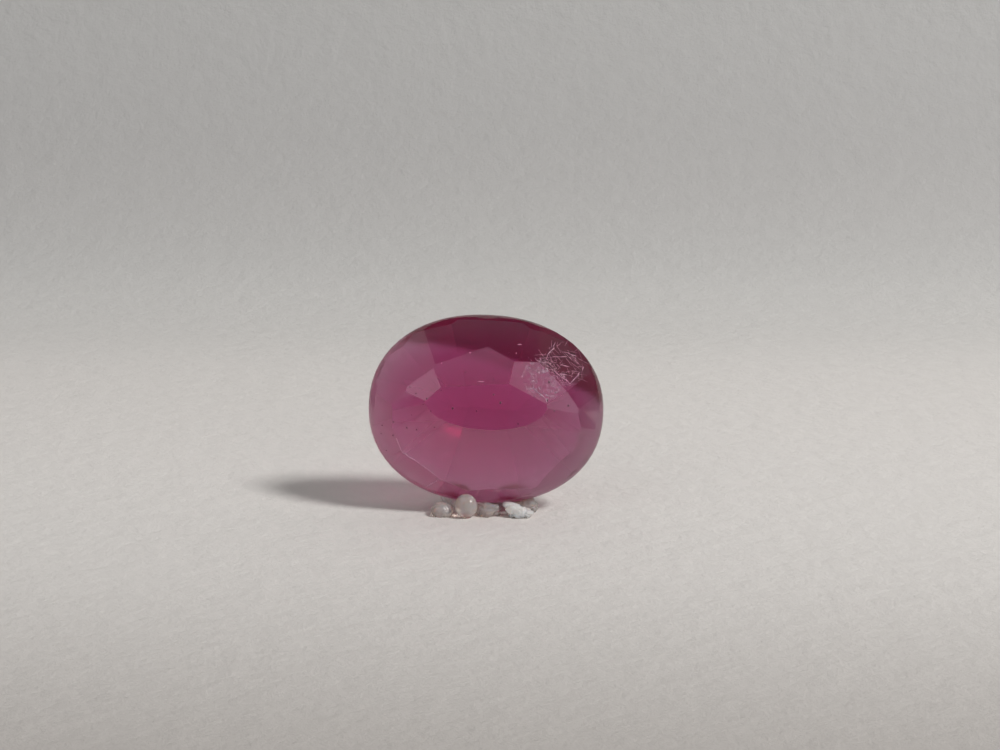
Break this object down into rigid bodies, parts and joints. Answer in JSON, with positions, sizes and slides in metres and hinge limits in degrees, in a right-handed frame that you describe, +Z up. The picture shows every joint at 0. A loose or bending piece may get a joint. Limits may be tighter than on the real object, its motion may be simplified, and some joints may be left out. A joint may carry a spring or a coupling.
{
  "type": "cut oval ruby",
  "caption": "Faceted oval ruby with a small table and a domed crown, standing on its edge and leaning back in small dabs of clear holding gel.",
  "frame": {"origin": "middle of the part's footprint box, on the surface that it stands on", "axes": "+X along the stone's length, +Y from the table to the back, +Z up"},
  "size_m": [0.008, 0.0038, 0.0066],
  "materials": {
    "ruby": "polished crown, satin pavilion, clear magenta red corundum",
    "gel": "clear soft gel, slightly cloudy"
  },
  "bodies": {
    "root": {"ruby": "ruby", "gel_bead": "gel", "gel_dab_left": "gel", "gel_dab_middle": "gel", "gel_dab_right": "gel", "gel_dab_right_rear": "gel", "gel_dab_back_left": "gel", "gel_dab_back_right": "gel"}
  },
  "joints": []
}
